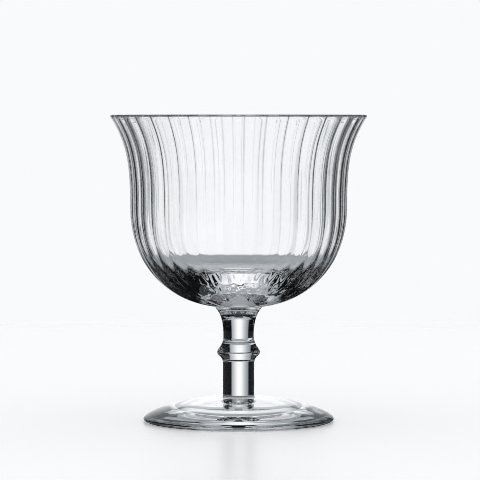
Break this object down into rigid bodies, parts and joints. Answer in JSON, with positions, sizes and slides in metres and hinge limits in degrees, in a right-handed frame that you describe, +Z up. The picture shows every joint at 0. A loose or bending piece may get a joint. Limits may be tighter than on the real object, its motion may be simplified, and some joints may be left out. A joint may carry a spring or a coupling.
{
  "type": "coupe glass",
  "caption": "Clear crystal coupe glass: a flared, optic-ribbed bowl with a thick base, on a short solid stem with a ring and a low domed foot, for wine, cocktails or desserts.",
  "frame": {"origin": "centre of the foot's standing plane, on the glass's axis", "axes": "+Z up along the axis of the glass, from the foot to the rim; X and Y lie in the table plane, and -Y faces the viewer of the picture"},
  "size_m": [0.0962, 0.0962, 0.1156],
  "materials": {
    "clear_crystal": "clear, fire-polished crystal, softly fluted, with fine optic ribs inside the bowl"
  },
  "bodies": {
    "root": {"bowl": "clear_crystal", "stem": "clear_crystal", "foot": "clear_crystal"}
  },
  "joints": []
}
